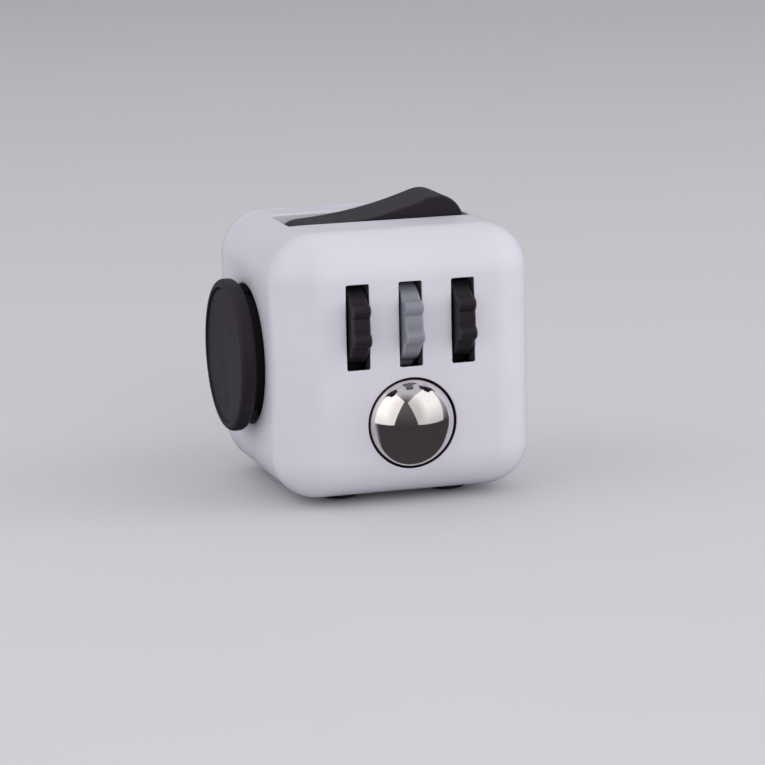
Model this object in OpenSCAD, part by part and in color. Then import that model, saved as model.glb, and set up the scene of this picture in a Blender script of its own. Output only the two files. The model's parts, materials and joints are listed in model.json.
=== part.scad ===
// Fidget cube: a hollow rounded cube with a different hand toy on each face.
// Front: three thumb wheels above a steel ball. Left: a sliding thumb pad.
// Top: a rocker. Right: a thumb dish. Back: a dial. Bottom: five push buttons.
// Up is +Z, the front faces -Y, and the cube rests on its button tips at Z = 0.

/* [Cube body] */
// Outside size of the cube
cube_size = 33; // [33:0.1:33.4]
// Radius of the rounded edges and corners
edge_radius = 5.7; // [5.6:0.1:5.8]
// Thickness of the moulded walls
wall = 2; // [1.9:0.1:2]
// Distance of the parting line behind the centre of the cube
seam_y = 10; // [9.9:0.1:10]
// Gap that shows at the parting line
seam_gap = 0.05; // [0.03:0.01:0.1]

/* [Thumb wheels] */
// Distance from one wheel to the next
wheel_pitch = 6.7; // [6.6:0.05:6.7]
// Width of a wheel
wheel_width = 2.4; // [2.2:0.1:2.4]
// Radius out to the tips of the bumps
wheel_tip_radius = 5.85; // [5.75:0.05:5.85]
// Radius of one rounded bump
bump_radius = 0.9; // [0.85:0.05:0.95]
// Pairs of bumps round a wheel
bump_pairs = 3; // [3:1:5]
// Angle between the two bumps of a pair
bump_split = 42; // [40:1:44]
// Angle that the pair at the front stands above level
wheel_phase = 5; // [0:1:10]
// Height of the wheel axle above the centre of the cube
axle_z = 5.35; // [5.3:0.01:5.4]
// Depth of the wheel axle behind the front face
axle_depth = 3.4; // [3.3:0.05:3.4]
// Radius of the wheel axle
axle_radius = 1; // [0.8:0.1:1]
// Width of a wheel slot
slot_width = 2.9; // [2.9:0.05:3]
// Height of a wheel slot in the front face
slot_height = 10.4; // [10.2:0.05:10.4]

/* [Steel ball] */
// Radius of the ball
ball_radius = 6; // [5.9:0.05:6]
// Depth of the ball's centre behind the front face
ball_depth = 2.65; // [2.6:0.05:2.7]
// Height of the ball's centre above the centre of the cube
ball_z = -6.95; // [-7.05:0.05:-6.95]
// How far the ball can be pressed in
ball_press = 0.8; // [0.6:0.1:0.8]

/* [Thumb pad] */
// Radius of the pad's rim
pad_radius = 9.55; // [9.4:0.05:9.6]
// Height of the pad's rim above the left face
pad_height = 3.1; // [3:0.1:3.2]
// Height of the pad's side wall
pad_edge = 2.1; // [1.9:0.1:2.1]
// Depth of the dished top
pad_dish = 1.1; // [0.8:0.1:1.2]
// Radius of the hole that the pad's neck slides in
pad_hole_radius = 8.8; // [8.8:0.1:8.9]
// Radius of the pad's neck
pad_neck_radius = 7.3; // [7:0.1:7.3]
// How far the pad slides each way
pad_travel = 1; // [0.8:0.1:1]

/* [Rocker] */
// Tilt of the rocker at rest, with the right end up
rocker_tilt = 11; // [10:1:11]
// Width of the rocker
rocker_width = 8.2; // [7.8:0.1:8.2]
// Distance from the pivot to the centre of each round end
rocker_reach = 8; // [7.9:0.05:8]
// Radius of the round ends
rocker_end_radius = 3.5; // [3.4:0.05:3.5]
// Height of the pivot above the centre of the cube
rocker_pivot_z = 12.5; // [12.5:0.05:12.6]
// How far the middle of the top is sunk below its ends
rocker_hollow = 0.6; // [0.5:0.1:0.8]

/* [Buttons] */
// Distance of the outer buttons from the middle, along X and Y
button_pitch = 7; // [6.9:0.05:7]
// Radius of a button
button_radius = 2.6; // [2.5:0.05:2.6]
// How far the buttons stand out of the bottom face
button_proud = 1; // [0.9:0.1:1.1]

/* [Dial and dish] */
// Radius of the dial
dial_radius = 9.2; // [9:0.1:9.2]
// Height of the dial above the back face
dial_proud = 1.5; // [1.2:0.1:1.6]
// Radius of the thumb dish where it meets the right face
dish_mouth_radius = 9.8; // [9.6:0.1:9.8]
// Depth of the thumb dish
dish_depth = 3; // [2.8:0.1:3]

/* [Hidden] */

$fn = 48;

// Body
face = cube_size / 2;
inner_face = face - wall;
inner_radius = edge_radius - wall;
centre_z = face + button_proud;
past = 0.2;
running_gap = 0.05;

// Wheels
axle_y = axle_depth - face;
bump_centre_radius = wheel_tip_radius - bump_radius;
wheel_base_radius = 5;
slot_cut_radius = norm([axle_depth, slot_height / 2]);
hub_radius = 2;
hub_width = wheel_width + 0.4;
axle_half = 1.5 * wheel_pitch;
bridge_front = axle_y + wheel_tip_radius + 0.3;
bridge_back = bridge_front + 1.1;
bridge_bottom = 0.9;
bridge_top = 9.4;
rib_front = past - inner_face;
rib_half_height = 2.4;
middle_rib_width = 3.4;
end_rib_width = 1.7;
ear_width = 4.1;
ear_height = 3.2;
ear_thickness = 1.1;
leaf = 0.2;
finger_half = 0.8;
finger_bottom = 4.1;
comb_half = 9.4;
comb_bottom = 8.3;
comb_top = 9.3;

// Ball
ball_y = ball_depth - face;
ball_socket_radius = ball_radius + 0.12;
seat_radius = 4;
seat_bore = 2.2;
seat_front = 4.4;
seat_back = 6.25;
cup_radius = 5.3;
cup_front = ball_y + 3.75;
cup_back = cup_front + 3.3;
housing_bore = cup_radius + 0.06;
housing_radius = 6.2;
housing_end = cup_back + ball_press + 2.6;
housing_floor = housing_end - 1;
flange_thickness = 1.2;
flange_half_x = 10.4;
flange_half_z = 1.65;
collar_radius = housing_radius + 0.8;
collar_low = -5.6;
collar_high = 3;

// Screws and the posts that they bite into
post_radius = 1.6;
screw_radius = 0.62;
pilot_radius = 0.65;
clear_radius = 0.75;
head_radius = 1.25;
head_height = 0.8;
front_post_y = -12;
frame_screw_x = 11.75;
housing_screw_x = 8.9;
rocker_post = [8.3, 8];
rocker_post_z = 12.2;
plate_screw_x = 8.8;
glide_post = [8.5, 9.7];
glide_post_radius = 1.3;
glide_post_x = -12.9;
cover_post_z = 6.9;
cover_post_front = 7.6;
cover_post_back = 13.05;
web_half = 1;
web_back = 9.3;
pilot_depth = 2.2;

// Thumb pad
pad_bottom = pad_height - pad_edge;
pad_rim_width = 0.9;
pad_round = 0.8;
pad_dish_mouth = pad_radius - pad_rim_width;
pad_dish_radius = (pow(pad_dish_mouth, 2) + pow(pad_dish, 2)) / (2 * pad_dish);
skirt_radius = pad_hole_radius + pad_travel + past;
skirt_front = -14.2;
skirt_back = -13.3;
key_half = 2.5;
slide_front = -12.85;
slide_back = -11.05;
slide_half_y = 7.4;
slide_half_z = 3.9;
slide_slot_y = 5.9;
window_z = 6.3;
key_end = -10.9;
retainer_front = glide_post_x;
retainer_lip = -11;
retainer_back = -10.2;
retainer_half_y = 9.6;
retainer_half_z = 9.2;
glide_spring_radius = 0.6;

// Rocker
rocker_end_height = 1.6;
rocker_top = rocker_end_height + rocker_end_radius;
rocker_hollow_radius = (pow(rocker_reach, 2) + pow(rocker_hollow, 2)) / (2 * rocker_hollow);
rocker_pin_radius = 0.9;
rocker_tube_radius = 2.2;
rocker_tube_end = -5.4;
rocker_bore_top = -1.35;
plunger_radius = 1.3;
plunger_tip = -6.6;
plunger_top = -4;
saddle_radius = 6.75;
rocker_slot_x = 11.75;
rocker_slot_y = 4.8;
rocker_slot_corner = 0.5;
bracket_floor = 4.4;
bracket_floor_top = 6.4;
cheek_inside = 4.6;
cheek_outside = 5.7;
flange_bottom = 10.7;
bracket_half_x = 6.4;
bracket_leg_x = 4.2;
bearing_half_x = 2.4;
bearing_top = rocker_pivot_z + 1.7;

// Buttons
button_flange_radius = 3.2;
button_flange_bottom = -14.35;
button_flange_top = -13.7;
button_nib_top = -13.5;
plate_bottom = -12.4;
plate_top = -11.2;
plate_half_x = 10.4;
plate_front = -10.7;
plate_back = 10;
notch_half = 4.9;
notch_back = -3.1;
post_slot_half = 1.5;
dome_radius = 2;
dome_apex = button_nib_top + 0.02;
dome_base = plate_bottom - 0.02;
dome_height = dome_base - dome_apex;
dome_sphere = (pow(dome_radius, 2) + pow(dome_height, 2)) / (2 * dome_height);
dome_sheet = 0.2;

// Dial
recess_radius = dial_radius + 0.15;
recess_floor = face - 1.4;
cover_floor_inside = 13.1;
dial_underside = recess_floor + 0.1;
dial_top = face + dial_proud;
dial_round = 0.6;
dial_nub_z = 5.9;
dial_nub_radius = 1.8;
dial_hollow_radius = 3.2;
dial_hollow_depth = 0.35;
shaft_radius = 2;
shaft_end = 12.3;
bushing_radius = 3;

// Dish
dish_sphere = (pow(dish_mouth_radius, 2) + pow(dish_depth, 2)) / (2 * dish_depth);
dish_x = face - dish_depth + dish_sphere;

white_plastic = [0.93, 0.92, 0.95];
black_plastic = [0.09, 0.09, 0.1];
grey_plastic = [0.52, 0.55, 0.6];
frame_plastic = [0.75, 0.75, 0.78];
slide_plastic = [0.85, 0.83, 0.78];
steel = [0.75, 0.76, 0.78];
rubber = [0.2, 0.2, 0.22];

// Places a piece drawn about the centre of the cube
module in_cube() { translate([0, 0, centre_z]) children(); }

// Places a piece drawn about the rocker's pivot, at its rest tilt
module in_rocker() { in_cube() translate([0, 0, rocker_pivot_z]) rotate([0, -rocker_tilt, 0]) children(); }

module rod_x(r, x0, x1) { translate([x0, 0, 0]) rotate([0, 90, 0]) cylinder(r = r, h = x1 - x0); }
module rod_y(r, y0, y1) { translate([0, y0, 0]) rotate([-90, 0, 0]) cylinder(r = r, h = y1 - y0); }
module rod_z(r, z0, z1) { translate([0, 0, z0]) cylinder(r = r, h = z1 - z0); }
module block(low, high) { translate(low) cube(high - low); }

// A cube with round edges and corners, centred on the origin
module rounded_cube(half, r) {
    c = half - r;
    for (v = [[half, c, c], [c, half, c], [c, c, half]]) cube(2 * v, center = true);
    for (a = [-c, c], b = [-c, c]) {
        translate([a, b, 0]) cylinder(r = r, h = 2 * c, center = true);
        translate([a, 0, b]) rotate([90, 0, 0]) cylinder(r = r, h = 2 * c, center = true);
        translate([0, a, b]) rotate([0, 90, 0]) cylinder(r = r, h = 2 * c, center = true);
    }
    for (a = [-c, c], b = [-c, c], d = [-c, c]) translate([a, b, d]) sphere(r = r);
}

// A rectangle with round corners, about the origin
module rounded_rectangle(half_x, half_y, r) {
    square([2 * half_x, 2 * (half_y - r)], center = true);
    square([2 * (half_x - r), 2 * half_y], center = true);
    for (x = [r - half_x, half_x - r], y = [r - half_y, half_y - r]) translate([x, y]) circle(r = r);
}

// A pan-head screw: the shank runs up from the origin, and the head hangs below it
module screw(length, shank = screw_radius, head = head_radius) {
    slot = 0.3;
    difference() {
        union() {
            rod_z(shank, -past, length);
            rod_z(head, -head_height, 0);
        }
        for (a = [0, 90]) rotate([0, 0, a])
            block([-0.75, -slot / 2, -head_height - past], [0.75, slot / 2, -0.4]);
    }
}

// A coil spring that stands on the origin, along Z
module coil_spring(radius, wire, length, turns) {
    sides = 6;
    rings = round(turns * 14);
    rise = length - 2 * wire;
    points = [
        for (i = [0:rings], k = [0:sides - 1])
            let (a = 360 * turns * i / rings, b = 360 * k / sides, out = radius + wire * cos(b))
            [out * cos(a), out * sin(a), wire + rise * i / rings + wire * sin(b)],
    ];
    sleeve = [
        for (i = [0:rings - 1], k = [0:sides - 1])
            let (next = (k + 1) % sides, row = i * sides)
            [row + k, row + next, row + sides + next, row + sides + k],
    ];
    start = [for (k = [sides - 1:-1:0]) k];
    finish = [for (k = [0:sides - 1]) rings * sides + k];
    polyhedron(points = points, faces = concat([start], sleeve, [finish]));
}

// Body

module button_places() {
    children();
    for (x = [-button_pitch, button_pitch], y = [-button_pitch, button_pitch]) translate([x, y, 0]) children();
}

module glide_post_places() {
    for (y = [-1, 1], z = [-1, 1]) translate([0, y * glide_post[0], z * glide_post[1]]) children();
}

// Posts inside the main shell; they start within the wall
module shell_posts() {
    root = inner_face + past;
    for (s = [-1, 1]) {
        translate([s * frame_screw_x, 0, axle_z]) rod_y(post_radius, -root, front_post_y);
        translate([s * housing_screw_x, 0, ball_z]) rod_y(post_radius, -root, front_post_y);
        translate([s * plate_screw_x, 0, 0]) rod_z(post_radius, -root, plate_bottom);
        for (y = [-rocker_post[1], rocker_post[1]])
            translate([s * rocker_post[0], y, 0]) rod_z(post_radius, rocker_post_z, root);
        translate([0, 0, s * cover_post_z]) rod_y(post_radius, cover_post_front, cover_post_back);
    }
    glide_post_places() rod_x(glide_post_radius, -root, glide_post_x);
    block([-web_half, cover_post_front, cover_post_z], [web_half, web_back, root]);
    block([-web_half, cover_post_front, -root], [web_half, web_back, -cover_post_z]);
}

// Pilot holes in those posts
module shell_pilots() {
    front_pilot = front_post_y - pilot_depth;
    for (s = [-1, 1]) {
        translate([s * frame_screw_x, 0, axle_z]) rod_y(pilot_radius, front_pilot, front_post_y + past);
        translate([s * housing_screw_x, 0, ball_z]) rod_y(pilot_radius, front_pilot, front_post_y + past);
        translate([s * plate_screw_x, 0, 0]) rod_z(pilot_radius, plate_bottom - pilot_depth, plate_bottom + past);
        for (y = [-rocker_post[1], rocker_post[1]]) translate([s * rocker_post[0], y, 0])
            rod_z(pilot_radius, rocker_post_z - past, rocker_post_z + pilot_depth);
        translate([0, 0, s * cover_post_z]) rod_y(pilot_radius, cover_post_back - 4, cover_post_back + past);
    }
    glide_post_places() rod_x(pilot_radius, glide_post_x - pilot_depth, glide_post_x + past);
}

// Every opening that a toy works through
module shell_openings() {
    for (x = [-wheel_pitch, 0, wheel_pitch])
        translate([x, axle_y, axle_z]) rod_x(slot_cut_radius, -slot_width / 2, slot_width / 2);
    translate([0, ball_y, ball_z]) sphere(r = ball_socket_radius);
    rod_x(pad_hole_radius, -face - past, -inner_face + past);
    translate([0, 0, inner_face - past])
        linear_extrude(wall + 2 * past) rounded_rectangle(rocker_slot_x, rocker_slot_y, rocker_slot_corner);
    button_places() rod_z(button_radius + 0.08, -face - past, -inner_face + past);
    translate([dish_x, 0, 0]) sphere(r = dish_sphere);
}

module main_shell() {
    color(white_plastic) in_cube() difference() {
        union() {
            difference() {
                rounded_cube(face, edge_radius);
                rounded_cube(inner_face, inner_radius);
                block([-face - 1, seam_y, -face - 1], [face + 1, face + 1, face + 1]);
            }
            shell_posts();
            intersection() {
                translate([dish_x, 0, 0]) sphere(r = dish_sphere + wall - past);
                block([inner_face - 4, 1 - inner_face, 1 - inner_face],
                    [inner_face + past, seam_y - 1, inner_face - 1]);
            }
        }
        shell_openings();
        shell_pilots();
    }
}

module back_cover() {
    lip_half = 0.4;
    lip_middle = inner_face - 0.1 - lip_half;
    lip_front = seam_y - 0.6;
    color(white_plastic) in_cube() difference() {
        union() {
            difference() {
                rounded_cube(face, edge_radius);
                rounded_cube(inner_face, inner_radius);
                block([-face, -face, -face] - [1, 1, 1], [face + 1, seam_y + seam_gap, face + 1]);
            }
            for (s = [-1, 1], x = [-3.8, 1.4])
                block([x, lip_front, s * lip_middle - lip_half],
                    [x + 2.4, seam_y + 2, s * lip_middle + lip_half]);
            block([lip_middle - lip_half, lip_front, -6], [lip_middle + lip_half, seam_y + 2, 6]);
            rod_y(recess_radius + 0.6, cover_floor_inside, recess_floor + past);
        }
        rod_y(recess_radius, recess_floor, face + past);
        rod_y(bushing_radius, cover_floor_inside - past, recess_floor + past);
        for (s = [-1, 1]) translate([0, 0, s * cover_post_z]) {
            rod_y(clear_radius, cover_floor_inside - past, recess_floor + past);
            rod_y(head_radius + 0.15, recess_floor - 1, recess_floor + past);
        }
    }
}

module cover_screws() {
    for (s = [-1, 1])
        color(steel) in_cube() translate([0, recess_floor - 1, s * cover_post_z]) rotate([90, 0, 0]) screw(4.4);
}

// Thumb wheels

module roller_frame() {
    color(frame_plastic) in_cube() difference() {
        union() {
            block([-axle_half, bridge_front, bridge_bottom], [axle_half, bridge_back, bridge_top]);
            for (s = [-1, 1]) {
                bearing_rib(s * wheel_pitch / 2, middle_rib_width);
                bearing_rib(s * (axle_half - end_rib_width / 2), end_rib_width);
                translate([s * (frame_screw_x - 0.6), front_post_y + ear_thickness / 2, axle_z])
                    cube([ear_width, ear_thickness, ear_height], center = true);
            }
        }
        translate([0, axle_y, axle_z]) rod_x(axle_radius + 0.02, -axle_half - past, axle_half + past);
        for (s = [-1, 1]) translate([s * frame_screw_x, 0, axle_z])
            rod_y(clear_radius, front_post_y - past, front_post_y + 2);
    }
}

// A rib of the roller frame that carries the axle
module bearing_rib(x, width) {
    translate([x, 0, axle_z])
        block([-width / 2, rib_front, -rib_half_height], [width / 2, bridge_front + past, rib_half_height]);
}

module roller_frame_screws() {
    for (s = [-1, 1]) color(steel) in_cube()
        translate([s * frame_screw_x, front_post_y + ear_thickness, axle_z]) rotate([90, 0, 0]) screw(2.9);
}

module wheel_axle() {
    color(steel) in_cube() translate([0, axle_y, axle_z]) rod_x(axle_radius, -axle_half, axle_half);
}

// The bumpy outline of a wheel, with the pair at the front drawn towards -Y
module wheel_outline() {
    circle(r = wheel_base_radius);
    for (pair = [0:bump_pairs - 1], side = [-0.5, 0.5])
        rotate(-wheel_phase - 360 * pair / bump_pairs - bump_split * side)
            translate([0, -bump_centre_radius]) circle(r = bump_radius);
}

module wheel(x, tint) {
    color(tint) in_cube() translate([x, axle_y, axle_z]) difference() {
        union() {
            rotate([0, 90, 0]) linear_extrude(wheel_width, center = true) wheel_outline();
            rod_x(hub_radius, -hub_width / 2, hub_width / 2);
        }
        rod_x(axle_radius + running_gap, -hub_width, hub_width);
    }
}

module wheel_left() { wheel(-wheel_pitch, black_plastic); }
module wheel_middle() { wheel(0, grey_plastic); }
module wheel_right() { wheel(wheel_pitch, black_plastic); }

// A steel comb with one finger behind each wheel
module wheel_click_spring() {
    color(steel) in_cube() {
        block([-comb_half, bridge_front - leaf, comb_bottom], [comb_half, bridge_front, comb_top]);
        for (x = [-wheel_pitch, 0, wheel_pitch])
            block([x - finger_half, bridge_front - leaf, finger_bottom],
                [x + finger_half, bridge_front, comb_bottom + 0.1]);
    }
}

// Steel ball

module ball() { color(steel) in_cube() translate([0, ball_y, ball_z]) sphere(r = ball_radius); }

module ball_seat_ring() {
    color(slide_plastic) in_cube() translate([0, ball_y, ball_z]) difference() {
        rod_y(seat_radius, seat_front, seat_back);
        rod_y(seat_bore, seat_front - past, seat_back + past);
        sphere(r = ball_radius + 0.03);
    }
}

module ball_cup() {
    color(frame_plastic) in_cube() translate([0, 0, ball_z]) difference() {
        rod_y(cup_radius, cup_front, cup_back);
        translate([0, ball_y, 0]) {
            sphere(r = ball_socket_radius);
            rod_y(seat_radius + running_gap, seat_front - 0.4, seat_back + running_gap);
        }
    }
}

module ball_spring() {
    length = housing_floor - cup_back - 0.04;
    color(steel) in_cube() translate([0, cup_back + 0.02, ball_z])
        rotate([-90, 0, 0]) coil_spring(3.6, 0.28, length, 2.25);
}

module ball_housing() {
    flange_back = front_post_y + flange_thickness;
    color(frame_plastic) in_cube() difference() {
        translate([0, 0, ball_z]) union() {
            block([-flange_half_x, front_post_y, -flange_half_z], [flange_half_x, flange_back, flange_half_z]);
            rod_y(housing_radius, flange_back, housing_end);
            intersection() {
                rod_y(collar_radius, front_post_y, flange_back);
                block([-face, -face, collar_low], [face, 0, collar_high]);
            }
        }
        translate([0, 0, ball_z]) {
            rod_y(ball_socket_radius, -face, flange_back);
            translate([0, ball_y + ball_press, 0]) sphere(r = ball_socket_radius);
            rod_y(housing_bore, -face, housing_floor);
            for (s = [-1, 1]) translate([s * housing_screw_x, 0, 0]) rod_y(clear_radius, -face, 0);
        }
    }
}

module ball_housing_screws() {
    for (s = [-1, 1]) color(steel) in_cube()
        translate([s * housing_screw_x, front_post_y + flange_thickness, ball_z]) rotate([90, 0, 0]) screw(3);
}

// Thumb pad

// The pad and its neck, drawn outwards from the left face
module glide_pad() {
    neck_end = skirt_front + face;
    color(black_plastic) in_cube() translate([-face, 0, 0]) rotate([0, -90, 0]) difference() {
        rotate_extrude() {
            translate([0, pad_bottom]) square([pad_radius - pad_round, pad_edge]);
            translate([0, pad_bottom + pad_round]) square([pad_radius, pad_edge - 2 * pad_round]);
            for (h = [pad_bottom + pad_round, pad_height - pad_round])
                translate([pad_radius - pad_round, h]) circle(r = pad_round);
            translate([0, -neck_end]) square([pad_neck_radius, neck_end + pad_bottom + past]);
        }
        translate([0, 0, pad_height - pad_dish + pad_dish_radius]) sphere(r = pad_dish_radius);
        rod_z(pilot_radius, -neck_end - past, 0);
    }
}

// A disc that closes the hole behind the neck, with a square key at its back
module glide_skirt() {
    color(black_plastic) in_cube() difference() {
        union() {
            rod_x(skirt_radius, skirt_front, skirt_back);
            block([skirt_back - past, -key_half, -key_half], [key_end, key_half, key_half]);
        }
        rod_x(clear_radius, skirt_front - past, key_end + past);
    }
}

module glide_screw() {
    color(steel) in_cube() translate([key_end, 0, 0]) rotate([0, -90, 0]) screw(5.2);
}

module glide_cross_slide() {
    color(slide_plastic) in_cube() difference() {
        block([slide_front, -slide_half_y, -slide_half_z], [slide_back, slide_half_y, slide_half_z]);
        block([slide_front, -slide_slot_y, -key_half] - past * [1, 0, 0.3],
            [slide_back, slide_slot_y, key_half] + past * [1, 0, 0.3]);
    }
}

module glide_retainer() {
    ear_low = glide_post - [1.6, 1.6];
    ear_high = glide_post + [1.5, 1.5];
    opening = key_half + pad_travel + 0.5;
    color(frame_plastic) in_cube() difference() {
        union() {
            block([retainer_front, -retainer_half_y, -retainer_half_z],
                [retainer_back, retainer_half_y, retainer_half_z]);
            for (y = [-1, 1], z = [-1, 1]) scale([1, y, z])
                block([retainer_front, ear_low[0], ear_low[1]], [retainer_lip, ear_high[0], ear_high[1]]);
        }
        block([retainer_front - past, -slide_half_y - running_gap, -window_z],
            [retainer_lip, slide_half_y + running_gap, window_z]);
        block([retainer_lip - past, -opening, -opening], [retainer_back + past, opening, opening]);
        glide_post_places() {
            rod_x(clear_radius, retainer_front - past, retainer_back + past);
            rod_x(head_radius + 0.4, retainer_lip, retainer_back + past);
        }
    }
}

module glide_retainer_screws() {
    color(steel) in_cube() glide_post_places() translate([retainer_lip, 0, 0]) rotate([0, -90, 0]) screw(3.7);
}

// Two springs that push the cross slide back to mid height
module glide_springs_vertical() {
    gap = window_z - slide_half_z;
    for (s = [0, 1]) color(steel) in_cube() mirror([0, 0, s])
        translate([(slide_front + slide_back) / 2, 0, slide_half_z + 0.02])
            coil_spring(glide_spring_radius, 0.16, gap - 0.04, 3.5);
}

// Two springs that push the pad's key back to the middle of the cross slide
module glide_springs_sideways() {
    gap = slide_slot_y - key_half;
    for (s = [0, 1]) color(steel) in_cube() mirror([0, s, 0])
        translate([(slide_front + slide_back) / 2, key_half + 0.02, 0])
            rotate([-90, 0, 0]) coil_spring(glide_spring_radius, 0.16, gap - 0.04, 4.5);
}

// Rocker

module rocker_outline() {
    difference() {
        union() {
            translate([0, rocker_end_height]) square(2 * [rocker_reach, rocker_end_radius], center = true);
            for (s = [-1, 1]) translate([s * rocker_reach, rocker_end_height]) circle(r = rocker_end_radius);
        }
        translate([0, rocker_top - rocker_hollow + rocker_hollow_radius]) circle(r = rocker_hollow_radius);
    }
}

module rocker() {
    color(black_plastic) in_rocker() difference() {
        union() {
            rotate([90, 0, 0]) linear_extrude(rocker_width, center = true) rocker_outline();
            rod_z(rocker_tube_radius, rocker_tube_end, 0);
        }
        rod_y(rocker_pin_radius + running_gap, -rocker_width, rocker_width);
        rod_z(plunger_radius + running_gap, rocker_tube_end - 1, rocker_bore_top);
    }
}

module rocker_pin() {
    color(steel) in_cube() translate([0, 0, rocker_pivot_z]) rod_y(rocker_pin_radius, -cheek_outside, cheek_outside);
}

module rocker_plunger() {
    color(slide_plastic) in_rocker() {
        rod_z(plunger_radius, plunger_tip + plunger_radius, plunger_top);
        translate([0, 0, plunger_tip + plunger_radius]) sphere(r = plunger_radius);
    }
}

module rocker_spring() {
    length = rocker_bore_top - plunger_top - 0.04;
    color(steel) in_rocker() translate([0, 0, plunger_top + 0.02]) coil_spring(0.95, 0.16, length, 4.5);
}

module rocker_bracket() {
    ear_low = [5.9, cheek_inside];
    ear_high = [10, 9.7];
    color(frame_plastic) in_cube() difference() {
        union() {
            block([-bracket_half_x, -cheek_outside, bracket_floor],
                [bracket_half_x, cheek_outside, bracket_floor_top]);
            for (y = [-1, 1]) scale([1, y, 1]) {
                block([-bearing_half_x, cheek_inside, bracket_floor],
                    [bearing_half_x, cheek_outside, bearing_top]);
                for (x = [-1, 1]) scale([x, 1, 1]) {
                    block([bracket_leg_x, cheek_inside, bracket_floor],
                        [bracket_half_x, cheek_outside, rocker_post_z]);
                    block([ear_low[0], ear_low[1], flange_bottom], [ear_high[0], ear_high[1], rocker_post_z]);
                }
                block([-bracket_half_x, cheek_inside, flange_bottom - 1],
                    [bracket_half_x, cheek_outside, rocker_post_z]);
            }
        }
        translate([0, 0, rocker_pivot_z]) {
            rod_y(rocker_pin_radius + 0.02, -cheek_outside - 1, cheek_outside + 1);
            rod_y(saddle_radius, -3, 3);
        }
        for (x = [-1, 1], y = [-1, 1]) translate([x * rocker_post[0], y * rocker_post[1], 0])
            rod_z(clear_radius, flange_bottom - past, rocker_post_z + past);
    }
}

module rocker_bracket_screws() {
    for (x = [-1, 1], y = [-1, 1]) color(steel) in_cube()
        translate([x * rocker_post[0], y * rocker_post[1], flange_bottom]) screw(3.4);
}

// Dial

module dial() {
    color(black_plastic) in_cube() difference() {
        union() {
            rotate([-90, 0, 0]) rotate_extrude() {
                translate([0, dial_underside]) square([dial_radius, dial_top - dial_round - dial_underside]);
                translate([0, dial_underside]) square([dial_radius - dial_round, dial_top - dial_underside]);
                translate([dial_radius - dial_round, dial_top - dial_round]) circle(r = dial_round);
            }
            rod_y(shaft_radius, shaft_end, dial_underside + past);
            translate([0, dial_top - 0.7, dial_nub_z]) sphere(r = dial_nub_radius);
        }
        rod_y(dial_hollow_radius, dial_top - dial_hollow_depth, dial_top + past);
        rod_y(pilot_radius, shaft_end - past, dial_underside + 0.5);
    }
}

module dial_bushing() {
    color(slide_plastic) in_cube() difference() {
        rod_y(bushing_radius - 0.02, cover_floor_inside, recess_floor);
        rod_y(shaft_radius + running_gap, cover_floor_inside - past, recess_floor + past);
    }
}

module dial_wave_washer() {
    color(steel) in_cube() difference() {
        rod_y(bushing_radius - 0.1, shaft_end + 0.1, cover_floor_inside - 0.05);
        rod_y(shaft_radius + 0.1, shaft_end, cover_floor_inside);
    }
}

module dial_retainer() {
    color(steel) in_cube() difference() {
        rod_y(bushing_radius + 0.2, shaft_end - 0.6, shaft_end);
        rod_y(clear_radius, shaft_end - 1, shaft_end + 1);
    }
}

module dial_screw() {
    color(steel) in_cube() translate([0, shaft_end - 0.6, 0]) rotate([-90, 0, 0]) screw(3.4);
}

// Buttons

module button(x, y, tint) {
    round = 0.3;
    color(tint) in_cube() translate([x, y, 0]) {
        rod_z(button_radius, round - centre_z, button_flange_top);
        rod_z(button_radius - round, -centre_z, button_flange_top);
        translate([0, 0, round - centre_z]) rotate_extrude() translate([button_radius - round, 0]) circle(r = round);
        rod_z(button_flange_radius, button_flange_bottom, button_flange_top);
        rod_z(1, button_flange_top - past, button_nib_top);
    }
}

module button_front_left() { button(-button_pitch, -button_pitch, black_plastic); }
module button_front_right() { button(button_pitch, -button_pitch, black_plastic); }
module button_centre() { button(0, 0, grey_plastic); }
module button_back_left() { button(-button_pitch, button_pitch, black_plastic); }
module button_back_right() { button(button_pitch, button_pitch, black_plastic); }

// A thin snap dome hung from the click plate, with its apex on a button
module click_dome(x, y) {
    color(steel) in_cube() translate([x, y, 0]) intersection() {
        translate([0, 0, dome_apex + dome_sphere]) difference() {
            sphere(r = dome_sphere);
            sphere(r = dome_sphere - dome_sheet);
        }
        rod_z(dome_radius + 1, dome_apex - past, dome_base);
    }
}

module dome_front_left() { click_dome(-button_pitch, -button_pitch); }
module dome_front_right() { click_dome(button_pitch, -button_pitch); }
module dome_centre() { click_dome(0, 0); }

// A soft rubber pad in the place of a snap dome, for a button that makes no click
module silent_pad(x, y) {
    color(rubber) in_cube() translate([x, y, 0]) {
        rod_z(1.2, dome_apex, dome_base);
        rod_z(2, dome_base - 0.4, dome_base);
    }
}

module pad_back_left() { silent_pad(-button_pitch, button_pitch); }
module pad_back_right() { silent_pad(button_pitch, button_pitch); }

module click_plate() {
    color(frame_plastic) in_cube() difference() {
        block([-plate_half_x, plate_front, plate_bottom], [plate_half_x, plate_back, plate_top]);
        block([-notch_half, plate_front - past, plate_bottom - past], [notch_half, notch_back, plate_top + past]);
        block([-post_slot_half, cover_post_front - 0.3, plate_bottom - past],
            [post_slot_half, plate_back + past, plate_top + past]);
        for (s = [-1, 1]) translate([s * plate_screw_x, 0, 0])
            rod_z(clear_radius, plate_bottom - past, plate_top + past);
    }
}

module click_plate_screws() {
    for (s = [-1, 1]) color(steel) in_cube()
        translate([s * plate_screw_x, 0, plate_top]) rotate([180, 0, 0]) screw(3);
}

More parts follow.
